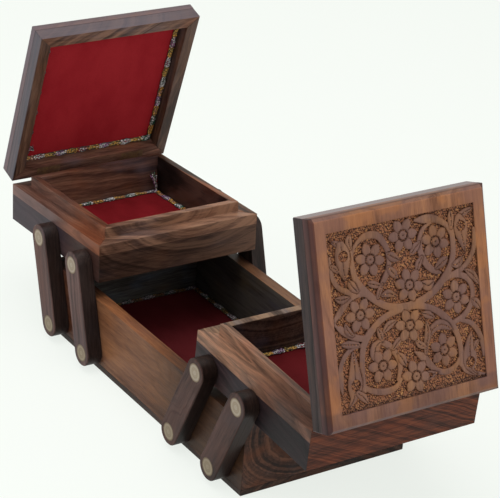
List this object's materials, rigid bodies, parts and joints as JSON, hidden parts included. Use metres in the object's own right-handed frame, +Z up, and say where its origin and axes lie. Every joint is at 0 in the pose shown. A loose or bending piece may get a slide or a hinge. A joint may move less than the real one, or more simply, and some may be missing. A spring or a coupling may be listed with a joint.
{
  "type": "wooden jewelry box",
  "caption": "Carved wooden jewelry box that opens sideways: lined base, lined trays on swinging arms, and a hinged, carved lid on each tray.",
  "frame": {"origin": "middle of the base's underside", "axes": "+Z up, +Y along the box towards the rear tray, +X to the right seen from the front"},
  "size_m": [0.1204, 0.3314, 0.1702],
  "materials": {
    "rosewood": "polished",
    "carved_rosewood": "waxed",
    "pale_dowel": "satin",
    "velvet": "pile",
    "braid": "metallic thread",
    "brass": "satin"
  },
  "bodies": {
    "base": {"base_bottom_board": "rosewood", "base_front_wall": "rosewood", "base_rear_wall": "rosewood", "base_left_wall": "rosewood", "base_right_wall": "rosewood", "base_velvet_lining": "velvet", "base_braid": "braid"},
    "rear_inner_arms": {"rear_inner_left_arm": "rosewood", "rear_inner_right_arm": "rosewood", "rear_inner_dowels": "pale_dowel"},
    "rear_outer_arms": {"rear_outer_left_arm": "rosewood", "rear_outer_right_arm": "rosewood", "rear_outer_dowels": "pale_dowel"},
    "rear_tray": {"rear_tray_bottom_board": "rosewood", "rear_tray_inner_wall": "rosewood", "rear_tray_outer_wall": "rosewood", "rear_tray_left_wall": "rosewood", "rear_tray_right_wall": "rosewood", "rear_tray_velvet_lining": "velvet", "rear_tray_braid": "braid", "rear_tray_hinge_leaves": "brass", "rear_tray_hinge_screws": "brass", "rear_hinge_pins": "brass"},
    "rear_lid": {"rear_lid_board": "carved_rosewood", "rear_lid_inner_rail": "rosewood", "rear_lid_outer_rail": "rosewood", "rear_lid_left_rail": "rosewood", "rear_lid_right_rail": "rosewood", "rear_lid_velvet_lining": "velvet", "rear_lid_braid": "braid", "rear_lid_hinge_leaves": "brass", "rear_lid_hinge_screws": "brass"},
    "front_inner_arms": {"front_inner_left_arm": "rosewood", "front_inner_right_arm": "rosewood", "front_inner_dowels": "pale_dowel"},
    "front_outer_arms": {"front_outer_left_arm": "rosewood", "front_outer_right_arm": "rosewood", "front_outer_dowels": "pale_dowel"},
    "front_tray": {"front_tray_bottom_board": "rosewood", "front_tray_inner_wall": "rosewood", "front_tray_outer_wall": "rosewood", "front_tray_left_wall": "rosewood", "front_tray_right_wall": "rosewood", "front_tray_velvet_lining": "velvet", "front_tray_braid": "braid", "front_tray_hinge_leaves": "brass", "front_tray_hinge_screws": "brass", "front_hinge_pins": "brass"},
    "front_lid": {"front_lid_board": "carved_rosewood", "front_lid_inner_rail": "rosewood", "front_lid_outer_rail": "rosewood", "front_lid_left_rail": "rosewood", "front_lid_right_rail": "rosewood", "front_lid_velvet_lining": "velvet", "front_lid_braid": "braid", "front_lid_hinge_leaves": "brass", "front_lid_hinge_screws": "brass"}
  },
  "joints": [
    {"name": "rear_inner_arm_swing", "type": "hinge", "parent": "base", "child": "rear_inner_arms", "pos_m": [0, 0.0465, 0.0102], "axis": [-1, 0, 0], "range_deg": [-57.26, 18.6]},
    {"name": "rear_outer_arm_swing", "type": "hinge", "parent": "base", "child": "rear_outer_arms", "pos_m": [0, 0.0845, 0.0102], "axis": [-1, 0, 0], "range_deg": [-57.26, 18.6]},
    {"name": "rear_tray_tilt", "type": "hinge", "parent": "rear_inner_arms", "child": "rear_tray", "pos_m": [0, 0.0613, 0.05744], "axis": [-1, 0, 0], "range_deg": [-17.73, 54.57]},
    {"name": "rear_lid_hinge", "type": "hinge", "parent": "rear_tray", "child": "rear_lid", "pos_m": [0, 0.15039, 0.06837], "axis": [-1, 0, 0], "range_deg": [-70, 35]},
    {"name": "front_inner_arm_swing", "type": "hinge", "parent": "base", "child": "front_inner_arms", "pos_m": [0, -0.0465, 0.0102], "axis": [1, 0, 0], "range_deg": [-64.26, 11.6]},
    {"name": "front_outer_arm_swing", "type": "hinge", "parent": "base", "child": "front_outer_arms", "pos_m": [0, -0.0845, 0.0102], "axis": [1, 0, 0], "range_deg": [-64.26, 11.6]},
    {"name": "front_tray_tilt", "type": "hinge", "parent": "front_inner_arms", "child": "front_tray", "pos_m": [0, -0.06695, 0.05528], "axis": [1, 0, 0], "range_deg": [-11.06, 61.24]},
    {"name": "front_lid_hinge", "type": "hinge", "parent": "front_tray", "child": "front_lid", "pos_m": [0, -0.1561, 0.0657], "axis": [1, 0, 0], "range_deg": [-69, 36]}
  ],
  "couplings": [
    {"joint": "rear_outer_arm_swing", "follows": "rear_inner_arm_swing", "ratio": 1},
    {"joint": "rear_tray_tilt", "follows": "rear_inner_arm_swing", "ratio": -0.953},
    {"joint": "front_outer_arm_swing", "follows": "front_inner_arm_swing", "ratio": 1},
    {"joint": "front_tray_tilt", "follows": "front_inner_arm_swing", "ratio": -0.953}
  ]
}
